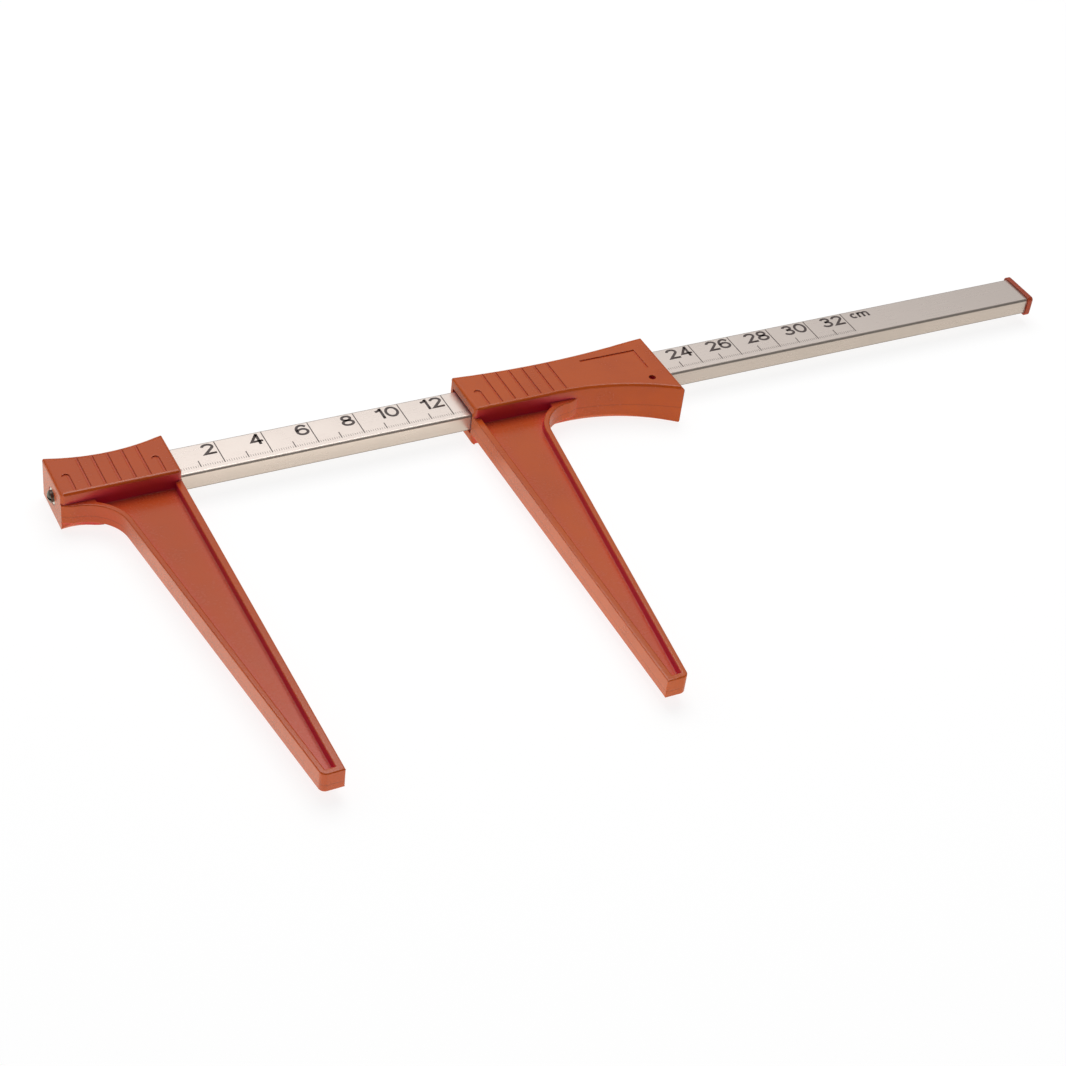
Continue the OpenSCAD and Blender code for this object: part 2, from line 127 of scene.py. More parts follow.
# Width and strokes of the figures, their height 1: points, or arcs by centre, radii and angles
FIGURES = {
    "0": (0.86, (((0.43, 0.50, 0.345, 0.415, 90, 450),),)),
    "1": (0.52, (((0.41, 0.0), (0.41, 1.0)), ((0.40, 0.93), (0.29, 0.80), (0.06, 0.745)))),
    "2": (0.80, (((0.40, 0.70, 0.30, 0.215, 172, -32), (0.125, 0.085), (0.79, 0.085)),)),
    "3": (0.80, (
        ((0.40, 0.735, 0.265, 0.18, 165, -90), (0.30, 0.555)),
        ((0.30, 0.525), (0.40, 0.305, 0.31, 0.22, 90, -168)),
    )),
    "4": (0.82, (((0.59, 0.0), (0.59, 1.0)), ((0.58, 0.92), (0.14, 0.305), (0.82, 0.305)))),
    "6": (0.80, (
        ((0.405, 0.335, 0.315, 0.25, 0, 360),),
        ((0.43, 0.50, 0.345, 0.415, 38, 192),),
    )),
    "8": (0.82, (
        ((0.41, 0.7225, 0.255, 0.1925, 90, 450),),
        ((0.41, 0.2975, 0.32, 0.2125, 90, 450),),
    )),
    "c": (0.90, (((0.47, 0.50, 0.36, 0.39, 48, 312),),)),
    "m": (1.55, (
        ((0.11, 0.0), (0.11, 1.0)),
        ((0.4425, 0.60, 0.3325, 0.29, 180, 0), (0.775, 0.0)),
        ((1.1075, 0.61, 0.3325, 0.28, 180, 0), (1.44, 0.0)),
    )),
}

# Half side of the floor and its place below the caliper
FLOOR_HALF, FLOOR_DROP = 3.0, 0.05 * MM
# Distances over which the seen floor fades to plain white
FLOOR_FADE = (0.45, 1.0)
# Places across and along the floor between which its mirror image on the caliper brightens
NEAR_FADE, LEFT_FADE, OUTER_FADE = (0.05, -0.03), (-0.035, -0.065), (-0.22, -0.235)
FRONT_FADE = (0.065, 0.045)
# Changes of the floor's mirror image on the left, near the middle and everywhere
MIRROR_LEFT, MIRROR_NEAR, MIRROR_ALL = 0.7, 0.12, -0.36
# Share of plain white in the seen floor beside the caliper
FLOOR_WHITE = 0.8
# Directions between which the room's light falls to the right and rises to the back and up
RIGHT_FADE, BACK_FADE, HIGH_FADE = (0.2, 0.65), (-0.25, 0.5), (0.25, 0.55)
# Level of the room's light in front, its rise high at the back and its fall to the right
ROOM_FRONT, ROOM_RISE, ROOM_FALL = 0.13, 0.92, 0.47
# Width of the camera's frame in millimetres, and its nearest and farthest distance in metres
FRAME_WIDTH, CLIP_NEAR, CLIP_FAR = 36.0, 0.01, 20.0


def length(name, description, default):
    """Size property in metres."""
    return bpy.props.FloatProperty(
        name=name, description=description, default=default, unit="LENGTH", precision=5
    )


def angle(name, description, degrees):
    """Angle property."""
    return bpy.props.FloatProperty(
        name=name, description=description, default=math.radians(degrees), subtype="ANGLE"
    )


def spot(name, description, default):
    """Property for a point in metres."""
    return bpy.props.FloatVectorProperty(
        name=name, description=description, default=default, subtype="TRANSLATION"
    )


def amount(name, description, default, unit="NONE"):
    """Number property, with a unit where one fits."""
    return bpy.props.FloatProperty(
        name=name, description=description, default=default, unit=unit
    )


def colour(name, description, default):
    """Colour property, linear values."""
    return bpy.props.FloatVectorProperty(
        name=name, description=description, default=default, subtype="COLOR", size=3,
        min=0.0, max=1.0,
    )


class CaliperSizes(bpy.types.PropertyGroup):
    """Sizes that the solids leave open."""

    lip_round: length("Lip rounding", "Radius along the heads' top and bottom outline", 1.4 * MM)
    heel_round: length(
        "Heel rounding", "Radius in plan of the sliding head's corner below its leg", 2.4 * MM
    )
    front_corner: length(
        "Front corner", "Radius in plan of the heads' front corners above the legs", 1.6 * MM
    )
    soft_edge: length(
        "Soft edge", "Radius to which the shading softens a moulding's other edges", 0.45 * MM
    )
    edge_round: length("Edge rounding", "Radius along the legs' edges", 0.55 * MM)
    web_round: length("Web rounding", "Radius where a leg's web meets its rim", 0.5 * MM)
    corner_round: length("Corner rounding", "Radius of upright corners", 0.5 * MM)
    groove_round: length("Groove rounding", "Radius along the grip grooves", 0.12 * MM)
    mouth_round: length("Mouth rounding", "Radius round the channel mouths", 0.25 * MM)
    cap_flange: length("Cap flange", "Thickness of the end cap's flange", 2.7 * MM)
    cap_round: length("Cap rounding", "Radius along the end cap's edges", 0.6 * MM)
    bar_corner: length("Bar corner", "Radius of the bar's long edges", 1.1 * MM)
    bar_wall: length("Bar wall", "Thickness of the bar's wall", 1.2 * MM)
    bore_corner: length("Bore corner", "Radius of the corners inside the bar", 0.3 * MM)
    print_height: length("Print height", "Thickness of the printed ink", 0.03 * MM)
    numeral_height: length("Numeral height", "Height of the printed numerals", 7.0 * MM)
    numeral_base: length(
        "Numeral base", "Baseline of the numerals behind the bar's middle", 0.5 * MM
    )
    numeral_gap: length("Numeral gap", "Space between a numeral and its mark", 0.9 * MM)
    mark_width: length("Mark width", "Width of a centimetre mark", 0.42 * MM)
    mark_back: length(
        "Mark back end", "Back end of the long marks from the bar's middle", 7.9 * MM
    )
    mark_front: length("Mark front end", "Front end of all marks from the bar's middle", 6.0 * MM)
    half_mark: length("Short mark length", "Length of the odd centimetre marks", 4.0 * MM)
    tick_length: length("Tick length", "Length of the millimetre ticks", 1.3 * MM)
    tick_width: length("Tick width", "Width of a millimetre tick", 0.14 * MM)
    numeral_stroke: length("Numeral stroke", "Width of the numerals' strokes", 1.2 * MM)
    unit_height: length("Unit height", "Height of the unit's small letters", 3.7 * MM)
    unit_base: length("Unit base", "Baseline of the unit behind the bar's middle", 3.0 * MM)
    unit_gap: length("Unit gap", "Space between the last mark and the unit", 4.0 * MM)
    figure_gap: length("Figure gap", "Space between two figures", 0.55 * MM)
    fastener_round: length(
        "Fastener rounding", "Radius of the screw head's and the washer's outer rims", 0.14 * MM
    )
    screw_head: length("Screw head", "Width of the screw's head", 4.9 * MM)
    last_mark: bpy.props.IntProperty(
        name="Last mark", description="Last centimetre mark of the scale", default=32
    )


class CaliperColours(bpy.types.PropertyGroup):
    """Colours of the finishes."""

    orange: colour("Moulded orange", "Body colour of the sliding jaw", (0.48, 0.078, 0.004))
    fixed_orange: colour(
        "Fixed jaw's orange", "Body colour of the fixed jaw, slightly redder", (0.465, 0.066, 0.003)
    )
    orange_deep: colour("Deep orange", "Darker flow marks in the moulding", (0.40, 0.058, 0.004))
    # Painted shade: the deeper red laid onto the walls of the jaws' recesses
    recess: colour("Recess", "Deeper red on the walls of the jaws' recesses", (0.62, 0.040, 0.048))
    # Painted shade: the dark colour laid into the jaws' inner corners and recesses
    crevice: colour("Crevice", "Grime in the jaws' inner corners", (0.62, 0.028, 0.080))
    cap_red: colour("Cap red", "Body colour of the end cap", (0.34, 0.046, 0.014))
    aluminium: colour("Aluminium", "Anodised bar", (0.80, 0.705, 0.645))
    ink: colour("Ink", "Printed scale", (0.060, 0.040, 0.036))
    steel: colour("Plated steel", "Washer, pin and spring", (0.66, 0.64, 0.60))
    screw: colour("Blackened steel", "Screw", (0.16, 0.155, 0.135))
    glide: colour("Glide plastic", "Pads and brake shoe", (0.78, 0.75, 0.67))
    plug: colour("Plug metal", "Plug in the bar's end", (0.62, 0.62, 0.61))


class CaliperStudio(bpy.types.PropertyGroup):
    """Camera and light."""

    azimuth: angle("Azimuth", "Camera's turn from the front", -31.10)
    elevation: angle("Elevation", "Camera's height angle", 39.20)
    roll: angle("Roll", "Camera's turn about its view", 7.637)
    distance: length("Distance", "Camera's distance from its target", 0.8582)
    target: spot("Target", "Point the camera looks at", (-0.066167, -0.003090, 0.0134))
    lens: amount("Lens", "Focal length on a 36 mm frame", 74.328, "CAMERA")
    softbox_power: amount("Softbox power", "Power of the softbox above the caliper", 8.0, "POWER")
    softbox_size: length("Softbox size", "Side of the softbox", 0.8)
    softbox_place: spot("Softbox place", "Middle of the softbox", (0.05, 0.40, 1.1))
    glow: amount("Floor glow", "Light that the lit floor adds", 1.2)
    surround: amount("Surround", "Level of the room's own light", 1.0)


def sizes():
    """Sizes in the scene."""
    return bpy.context.scene.caliper_sizes


def colours():
    """Colours in the scene."""
    return bpy.context.scene.caliper_colours


class Wire:
    """Output socket whose arithmetic adds Math nodes to its tree."""

    def __init__(self, bench, socket):
        self.bench = bench
        self.socket = socket

    def __add__(self, other):
        return self.bench.maths("ADD", self, other)

    __radd__ = __add__

    def __sub__(self, other):
        return self.bench.maths("SUBTRACT", self, other)

    def __rsub__(self, other):
        return self.bench.maths("SUBTRACT", other, self)

    def __mul__(self, other):
        return self.bench.maths("MULTIPLY", self, other)

    __rmul__ = __mul__

    def __abs__(self):
        return self.bench.maths("ABSOLUTE", self, 0.0)


class Bench:
    """Node tree under construction."""

    def __init__(self, tree):
        self.tree = tree
        tree.nodes.clear()

    def node(self, kind, settings=None, sockets=None, out=0):
        """Adds a node, with its settings first and then its sockets, and returns one output."""
        made = self.tree.nodes.new(kind)
        for name, value in (settings or {}).items():
            setattr(made, name, value)
        for name, value in (sockets or {}).items():
            if isinstance(value, Wire):
                self.tree.links.new(value.socket, made.inputs[name])
            else:
                made.inputs[name].default_value = value
        return Wire(self, made.outputs[out]) if made.outputs else None

    def maths(self, operation, first, second):
        """Math node on two values or wires."""
        return self.node("ShaderNodeMath", {"operation": operation}, {0: first, 1: second})

    def limit(self, value):
        """Value held between 0 and 1."""
        return self.node("ShaderNodeClamp", None, {"Value": value})

    def ramp(self, value, low, high):
        """Value spread smoothly from 0 at low to 1 at high."""
        return self.node(
            "ShaderNodeMapRange",
            {"interpolation_type": "SMOOTHSTEP"},
            {"Value": value, "From Min": low, "From Max": high},
        )

    def blend(self, factor, first, second, how="MIX"):
        """Colour mix of two colours or wires."""
        return self.node(
            "ShaderNodeMix",
            {"data_type": "RGBA", "blend_type": how},
            {"Factor": factor, MIX_FIRST: first, MIX_SECOND: second},
            MIX_RESULT,
        )

    def place(self, scale=(1.0, 1.0, 1.0), location=(0.0, 0.0, 0.0)):
        """Object coordinates, stretched by a scale and moved to a location."""
        where = self.node("ShaderNodeTexCoord", None, None, "Object")
        return self.node(
            "ShaderNodeMapping", None, {"Vector": where, "Scale": scale, "Location": location}
        )

    def part(self, vector, axis):
        """One part of a vector."""
        return self.node("ShaderNodeSeparateXYZ", None, {"Vector": vector}, axis)

    def facing(self, normal):
        """Upward part of a surface's normal."""
        return self.part(self.node("ShaderNodeNewGeometry", None, None, normal), "Z")

    def ray(self, kind):
        """Whether the light's path is of a kind."""
        return self.node("ShaderNodeLightPath", None, None, kind)

    def openness(self, reach):
        """Share of the sky that the piece itself leaves open within a reach."""
        settings = {"only_local": True, "samples": 8}
        return self.node("ShaderNodeAmbientOcclusion", settings, {"Distance": reach}, "AO")

    def noise(self, where, scale, detail=3.0, rough=0.5):
        """Noise value."""
        return self.node(
            "ShaderNodeTexNoise", None,
            {"Vector": where, "Scale": scale, "Detail": detail, "Roughness": rough},
        )

    def bump(self, height, distance, strength=1.0, radius=0.0):
        """Normal tilted by a height, over edges softened to a radius."""
        sockets = {"Height": height, "Distance": distance, "Strength": strength}
        if radius:
            sockets["Normal"] = self.node("ShaderNodeBevel", {"samples": 6}, {"Radius": radius})
        return self.node("ShaderNodeBump", None, sockets)

    def surface(self, sockets):
        """Principled surface joined to the output."""
        shader = self.node("ShaderNodeBsdfPrincipled", None, sockets)
        self.node("ShaderNodeOutputMaterial", None, {"Surface": shader})


def finish(name):
    """New material and its bench."""
    made = bpy.data.materials.new(name)
    made.use_nodes = True
    return made, Bench(made.node_tree)


def toned(shade, share):
    """Colour made darker or paler by a share."""
    return tuple(min(1.0, share * c) for c in shade)


def rgba(shade):
    """Colour with full alpha."""
    return (shade[0], shade[1], shade[2], 1.0)


def moulded_finish(name, body, deep, recess, crevice, seam=None):
    """Moulded plastic with flow marks, grain, painted red and dark shade in recesses and corners,
    and a parting line.
    """
    made, bench = finish(name)
    where = bench.place()
    flow = bench.ramp(bench.noise(where, 70.0, 4.0, 0.6), 0.38, 0.68)
    cloud = bench.ramp(bench.noise(where, 18.0, 2.0), 0.35, 0.7)
    speck = bench.ramp(bench.noise(where, 900.0, 2.0), 0.45, 0.75)
    grain = bench.noise(where, 3200.0, 2.0, 0.6)
    shade = bench.blend(bench.limit(flow * 0.35 + cloud * 0.35), rgba(body), rgba(deep))
    shade = bench.blend(speck * 0.16, shade, rgba(deep))
    # Painted shade: red on recess walls, dark in corners and recesses, slightly red in the grip
    # grooves
    wide, tight = bench.openness(RECESS_REACH), bench.openness(CORNER_REACH)
    up, height = bench.facing("True Normal"), bench.part(where, "Z")
    flat = bench.ramp(up, 0.4, 0.9)
    deeper = bench.ramp(abs(height - BAR_MIDDLE_Z), FACE_LEVEL, DEEP_LEVEL)
    # Painted dark shade where the piece closes in on itself, weaker on faces that look up
    dark_shade = bench.limit(
        bench.ramp(wide, 0.74, 0.46) * 0.85 + bench.ramp(tight, 0.85, 0.35) * 0.25
    )
    dark_shade = dark_shade * deeper * (1.0 - flat * 0.7)
    # Painted red shade on recess walls, weaker on faces that look up, and slight in the grip
    # grooves
    red_shade = bench.ramp(wide, 0.98, 0.74) * deeper * (0.95 - flat * 0.78)
    red_shade = red_shade + bench.ramp(tight, 0.95, 0.6) * (1.0 - deeper) * 0.25
    shade = bench.blend(red_shade, shade, rgba(recess))
    shade = bench.blend(dark_shade, shade, rgba(crevice))
    relief = grain * 0.5 + flow * 0.3 + speck * 0.4
    if seam is not None:
        line = bench.ramp(abs(height - seam), SEAM_FADE, SEAM_CORE) * bench.ramp(abs(up), 0.5, 0.2)
        shade = bench.blend(line * 0.35, shade, rgba(toned(deep, 0.4)))
        relief = relief - line * 2.0
    bench.surface({
        "Base Color": shade,
        "Roughness": 0.21 + flow * 0.05 + speck * 0.04 + red_shade * 0.25,
        "Specular IOR Level": 0.36,
        "Normal": bench.bump(relief, 0.02 * MM, 0.5, sizes().soft_edge),
    })
    return made


def anodised_finish():
    """Satin anodised aluminium drawn along X, dulled along its rounded edges and with a painted
    dark reflection there.
    """
    made, bench = finish("bar_anodising")
    tone = colours().aluminium
    drawn_lines = bench.noise(bench.place((14.0, 2600.0, 2600.0)), 1.0, 4.0, 0.6)
    fine = bench.noise(bench.place((60.0, 9000.0, 9000.0)), 1.0, 2.0)
    stain = bench.ramp(bench.noise(bench.place(), 55.0, 4.0, 0.6), 0.45, 0.75)
    rub = bench.ramp(bench.noise(bench.place((25.0, 900.0, 900.0)), 1.0, 5.0, 0.7), 0.62, 0.75)
    shade = bench.blend(drawn_lines * 0.35, rgba(tone), rgba(toned(tone, 0.82)))
    shade = bench.blend(stain * 0.22, shade, BAR_STAIN)
    shade = bench.blend(rub * 0.25, shade, BAR_RUB)
    # Painted dark reflection where the normal leans between up and sideways
    up = abs(bench.facing("Normal"))
    edge = bench.ramp(up, 0.05, 0.25) * bench.ramp(up, 0.999, 0.97)
    shade = bench.blend(edge * 0.65, shade, BAR_EDGE_SHADE)
    bench.surface({
        "Base Color": shade,
        "Metallic": 0.85,
        "Roughness": 0.25 + drawn_lines * 0.06 + stain * 0.06 + edge * 0.2,
        "Normal": bench.bump(drawn_lines + fine * 0.5, 0.012 * MM, 0.35),
    })
    return made


def ink_finish():
    """Dark printing ink, thin in places."""
    made, bench = finish("scale_ink")
    thin = bench.ramp(bench.noise(bench.place(), 1500.0, 3.0, 0.6), 0.52, 0.80)
    worn = bench.ramp(bench.noise(bench.place((60.0, 200.0, 60.0)), 2.0, 4.0), 0.58, 0.80)
    bench.surface({
        "Base Color": bench.blend(
            bench.limit(thin * 0.3 + worn * 0.25), rgba(colours().ink), INK_WORN
        ),
        "Roughness": 0.55 + thin * 0.15,
        "Normal": bench.bump(thin, 0.01 * MM, 0.3),
    })
    return made


def steel_finish(name, tone):
    """Plated or blackened steel with turning marks about the screw's axis and dulled patches."""
    made, bench = finish(name)
    patch = bench.ramp(bench.noise(bench.place(), 700.0, 4.0, 0.6), 0.42, 0.72)
    turned = bench.node("ShaderNodeTexWave", {"wave_type": "RINGS", "rings_direction": "X"}, {
        "Vector": bench.place(location=-BAR_MIDDLE),
        "Scale": 900.0, "Distortion": 1.5, "Detail": 2.0,
    }, 1)
    shade = bench.blend(patch * 0.55, rgba(tone), rgba(toned(tone, 0.55)))
    shade = bench.blend(turned * 0.2, shade, rgba(toned(tone, 1.25)))
    bench.surface({
        "Base Color": shade,
        "Metallic": 1.0,
        "Roughness": 0.26 + patch * 0.18,
        "Normal": bench.bump(turned + patch, 0.01 * MM, 0.4),
    })
    return made


def glide_finish():
    """Smooth pale glide plastic with polished and greyed streaks along X."""
    made, bench = finish("glide_moulding")
    streak = bench.noise(bench.place((40.0, 1800.0, 1800.0)), 1.0, 4.0)
    streak = bench.ramp(streak, 0.45, 0.72)
    cloud = bench.noise(bench.place(), 240.0, 3.0)
    bench.surface({
        "Base Color": bench.blend(
            bench.limit(streak * 0.4 + cloud * 0.2), rgba(colours().glide), GLIDE_GREY
        ),
        "Roughness": 0.34 + cloud * 0.2,
        "Normal": bench.bump(streak + cloud, 0.02 * MM, 0.4),
    })
    return made


def plug_finish():
    """Cut aluminium with saw and turning lines across X."""
    made, bench = finish("plug_cut")
    tone = colours().plug
    cut = bench.noise(bench.place((3000.0, 60.0, 60.0)), 1.0, 3.0)
    dull = bench.ramp(bench.noise(bench.place(), 300.0, 3.0), 0.4, 0.7)
    bench.surface({
        "Base Color": bench.blend(
            bench.limit(cut * 0.3 + dull * 0.3), rgba(tone), rgba(toned(tone, 0.6))
        ),
        "Metallic": 1.0,
        "Roughness": 0.36 + dull * 0.16,
        "Normal": bench.bump(cut, 0.03 * MM, 0.5),
    })
    return made


def seated(bm, name, material, body):
    """Turns a bmesh into a finished piece that rides on a body."""
    bm.normal_update()
    for face in bm.faces:
        face.smooth = True
    for edge in bm.edges:
        edge.smooth = len(edge.link_faces) == 2 and edge.calc_face_angle() < SMOOTH
    mesh = bpy.data.meshes.new(name)
    bm.to_mesh(mesh)
    bm.free()
    mesh.materials.append(material)
    piece = bpy.data.objects.new(name, mesh)
    bpy.context.scene.collection.objects.link(piece)
    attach(piece, body)
    return piece


def evened(piece):
    """Keeps a piece's flat faces flat beside its rounded edges."""
    even = piece.modifiers.new("even_shading", "WEIGHTED_NORMAL")
    even.keep_sharp = True


def merged_copy(node):
    """Copy of a solid's mesh with its triangles joined into flat faces."""
    bm = bmesh.new()
    bm.from_mesh(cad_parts[node].data)
    bmesh.ops.remove_doubles(bm, verts=bm.verts, dist=MERGE)
    bmesh.ops.dissolve_limit(bm, angle_limit=FLAT, verts=bm.verts, edges=bm.edges)
    bm.normal_update()
    return bm


def rectangle(bm, wide, deep):
    """Adds a flat rectangle about the origin and returns its vertices."""
    made = bmesh.ops.create_grid(bm, x_segments=1, y_segments=1, size=0.5)["verts"]
    bmesh.ops.scale(bm, vec=(wide, deep, 1.0), verts=made)
    return made


def drawn_out(bm, grown, offset):
    """Moves the vertices that an extrusion made."""
    made = [v for v in grown["geom"] if isinstance(v, bmesh.types.BMVert)]
    bmesh.ops.translate(bm, vec=offset, verts=made)


def at_height(edge, *heights):
    """Whether both ends of an edge lie at one of the heights."""
    return any(all(abs(v.co.z - height) < NEAR for v in edge.verts) for height in heights)


def at_side(edge, *sides):
    """Whether both ends of an edge lie in one of the planes across X."""
    return any(all(abs(v.co.x - side) < NEAR for v in edge.verts) for side in sides)


def upright(edge):
    """Whether an edge runs straight up."""
    run = edge.verts[1].co - edge.verts[0].co
    return abs(run.z) > 0.99 * run.length


def between(edge, low, high):
    """Whether both ends of an edge lie between two places along Y."""
    return all(low < v.co.y < high for v in edge.verts)


def wall_depth(edge):
    """Height of the deeper face beside an edge."""
    return max(
        max(v.co.z for v in f.verts) - min(v.co.z for v in f.verts) for f in edge.link_faces
    )


def from_hole(edge):
    """Distance of an edge's farther end from the lanyard hole's axis."""
    return max(math.hypot(v.co.x - HOLE.x, v.co.y - HOLE.y) for v in edge.verts)


def rounded(bm, radius, segments, chosen):
    """Rounds the sharp edges that a test chooses."""
    sharp = [
        e for e in bm.edges
        if len(e.link_faces) == 2 and e.calc_face_angle() > SHARP and chosen(e)
    ]
    bmesh.ops.bevel(
        bm, geom=sharp, offset=radius, offset_type="OFFSET", affect="EDGES", segments=segments,
        profile=0.5, material=-1, loop_slide=True,
    )
    bm.normal_update()


def blunted(bm, x, inward, stop, radius):
    """Rounds the corner between a head's end at x and its front wall, beyond a stop in height."""
    beyond = 1.0 if stop > BAR_MIDDLE_Z else -1.0

    def local(vert):
        aside, back = (vert.co.x - x) * inward, vert.co.y - HEAD_FRONT
        beside = -SLACK < aside < 2 * radius and -SLACK < back < 2 * radius
        return beside and (vert.co.z - stop) * beyond > -SLACK

    cuts = [((0.0, 0.0, stop + beyond * rise), (0.0, 0.0, 1.0)) for rise in (0.0, BLUNT_RISE)]
    for step in range(1, BLUNT_STEPS + 1):
        offset = radius * (1.0 - math.cos(math.radians(90.0 * step / BLUNT_STEPS)))
        cuts.append(((x + inward * offset, 0.0, 0.0), (1.0, 0.0, 0.0)))
        cuts.append(((0.0, HEAD_FRONT + offset, 0.0), (0.0, 1.0, 0.0)))
    for place, facing in cuts:
        faces = {f for v in bm.verts if local(v) for f in v.link_faces}
        edges = {e for f in faces for e in f.edges}
        verts = {v for f in faces for v in f.verts}
        bmesh.ops.bisect_plane(
            bm, geom=[*faces, *edges, *verts], dist=CUT, plane_co=place, plane_no=facing
        )
    for vert in bm.verts:
        aside, back = radius - (vert.co.x - x) * inward, radius - (vert.co.y - HEAD_FRONT)
        far = math.hypot(aside, back)
        outside = aside > 0.0 and back > 0.0 and far > radius
        if outside and local(vert) and (vert.co.z - stop) * beyond > BLUNT_RISE / 2:
            vert.co.x = x + inward * (radius - aside * radius / far)
            vert.co.y = HEAD_FRONT + radius - back * radius / far
    bm.normal_update()


def moulded_jaw(node, body, material):
    """Copy of a jaw with rounded lips, leg edges, webs, corners, mouths and grooves."""
    size = sizes()
    low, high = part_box(node)
    bm = merged_copy(node)

    def lip(edge):
        outer = edge.is_convex and at_height(edge, low.z, high.z)
        return outer and wall_depth(edge) > GROOVE_LIMIT and from_hole(edge) > HOLE_RIM

    def corner(front, back):
        return lambda e: e.is_convex and upright(e) and between(e, front, back)

    def mouth(edge):
        end = edge.is_convex and at_side(edge, low.x, high.x)
        inside = between(edge, BAR_LOW.y - MOUTH_ROOM, BAR_HIGH.y + MOUTH_ROOM)
        level_ends = all(abs(v.co.z - BAR_MIDDLE_Z) < MOUTH_HALF for v in edge.verts)
        return end and inside and level_ends and edge.calc_length() > MOUTH_EDGE

    def groove(edge):
        shallow = at_height(edge, high.z) and wall_depth(edge) < GROOVE_LIMIT
        inside = between(edge, low.y + GROOVE_FRONT, BAR_HIGH.y - GROOVE_BACK)
        return edge.is_convex and shallow and inside

    rounded(bm, size.lip_round, LIP_STEPS, lip)
    rounded(bm, size.edge_round, EDGE_STEPS, lambda e: e.is_convex and at_height(e, *LEG_FACES))
    rounded(bm, size.web_round, EDGE_STEPS, lambda e: not e.is_convex and at_height(e, *WEB_FACES))
    rounded(bm, size.corner_round, EDGE_STEPS, corner(high.y - CORNER_ZONE, high.y + MM))
    rounded(bm, size.corner_round, EDGE_STEPS, corner(low.y - MM, low.y + CORNER_ZONE))
    rounded(bm, size.mouth_round, SMALL_STEPS, mouth)
    rounded(bm, size.groove_round, SMALL_STEPS, groove)
    if node == "sliding_jaw":
        blunted(bm, low.x, 1.0, LEG_FACES[1], size.heel_round)
    else:
        blunted(bm, high.x, -1.0, LEG_FACES[0], size.front_corner)
    blunted(bm, low.x, 1.0, LEG_FACES[0], size.front_corner)
    bmesh.ops.dissolve_degenerate(bm, edges=bm.edges, dist=SLIVER)
    piece = seated(bm, node + "_moulded", material, body)
    evened(piece)
    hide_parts(node)


class CALIPER_OT_moulded_jaws(bpy.types.Operator):
    """Builds the fixed and the sliding jaw with rounded edges and moulded grain"""

    bl_idname = "caliper.moulded_jaws"
    bl_label = "Moulded Jaws"

    def execute(self, context):
        shades = colours()
        inner = (shades.orange_deep, shades.recess, shades.crevice, WEB_FACES[1])
        fixed = moulded_finish("fixed_moulding", shades.fixed_orange, *inner)
        sliding = moulded_finish("sliding_moulding", shades.orange, *inner)
        moulded_jaw("fixed_jaw", "beam", fixed)
        moulded_jaw("sliding_jaw", "slider", sliding)
        return {"FINISHED"}


class CALIPER_OT_scale_bar(bpy.types.Operator):
    """Builds the hollow anodised bar"""

    bl_idname = "caliper.scale_bar"
    bl_label = "Scale Bar"

    def loop(self, bm, tall, wide, corner):
        """Adds a rectangle with rounded corners as a loop of edges."""
        bmesh.ops.bevel(
            bm, geom=rectangle(bm, tall, wide), offset=corner, offset_type="OFFSET",
            affect="VERTICES", segments=BAR_STEPS, profile=0.5, material=-1,
        )
        bmesh.ops.delete(bm, geom=list(bm.faces), context="FACES_ONLY")

    def execute(self, context):
        size = sizes()
        bm = bmesh.new()
        turn = Matrix.Rotation(math.radians(90.0), 4, "Y")
        place = Matrix.Translation((BAR_LOW.x, BAR_MIDDLE_Y, BAR_MIDDLE_Z)) @ turn
        tall, wide = BAR_HIGH.z - BAR_LOW.z, BAR_HIGH.y - BAR_LOW.y
        walls = 2 * size.bar_wall
        self.loop(bm, tall, wide, size.bar_corner)
        self.loop(bm, tall - walls, wide - walls, size.bore_corner)
        bmesh.ops.bridge_loops(bm, edges=list(bm.edges))
        bmesh.ops.transform(bm, matrix=place, verts=bm.verts)
        grown = bmesh.ops.extrude_face_region(bm, geom=list(bm.faces))
        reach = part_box("end_cap")[1].x - size.cap_flange - BAR_LOW.x
        drawn_out(bm, grown, (reach, 0.0, 0.0))
        bmesh.ops.recalc_face_normals(bm, faces=bm.faces)
        piece = seated(bm, "scale_bar_drawn", anodised_finish(), "beam")
        evened(piece)
        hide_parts("scale_bar")
        return {"FINISHED"}


def arc(bm, x, y, wide, tall, start, end):
    """Adds part of an ellipse and returns its vertices in order."""
    first = bm.verts.new((1.0, 0.0, 0.0))
    count = len(bm.verts) - 1
    origin = (0.0, 0.0, 0.0)
    turn = Matrix.Rotation(math.radians(start), 3, "Z")
    bmesh.ops.rotate(bm, verts=[first], cent=origin, matrix=turn)
    bmesh.ops.spin(
        bm, geom=[first], cent=origin, axis=(0.0, 0.0, 1.0), angle=math.radians(end - start),
        steps=math.ceil(abs(end - start) / ARC_STEP),
    )
    bm.verts.ensure_lookup_table()
    made = bm.verts[count:]
    bmesh.ops.scale(bm, vec=(wide, tall, 1.0), verts=made)
    bmesh.ops.translate(bm, vec=(x, y, 0.0), verts=made)
    return made


def figure(name, height):
    """Walls along the middle of a figure's strokes, its lower left corner at the origin."""
    bm = bmesh.new()
    for stroke in FIGURES[name][1]:
        last = None
        for part in stroke:
            is_arc = len(part) == 6
            chain = arc(bm, *part) if is_arc else [bm.verts.new((part[0], part[1], 0.0))]
            if last is not None:
                bm.edges.new((last, chain[0]))
            last = chain[-1]
    bmesh.ops.remove_doubles(bm, verts=bm.verts, dist=FIGURE_MERGE)
    bmesh.ops.scale(bm, vec=(height, height, 1.0), verts=bm.verts)
    grown = bmesh.ops.extrude_edge_only(bm, edges=bm.edges)
    drawn_out(bm, grown, (0.0, 0.0, sizes().print_height))
    return bm


def joined(bm, other, offset):
    """Adds another bmesh at an offset."""
    bmesh.ops.translate(other, vec=offset, verts=other.verts)
    spare = bpy.data.meshes.new("spare")
    other.to_mesh(spare)
    other.free()
    bm.from_mesh(spare)
    bpy.data.meshes.remove(spare)


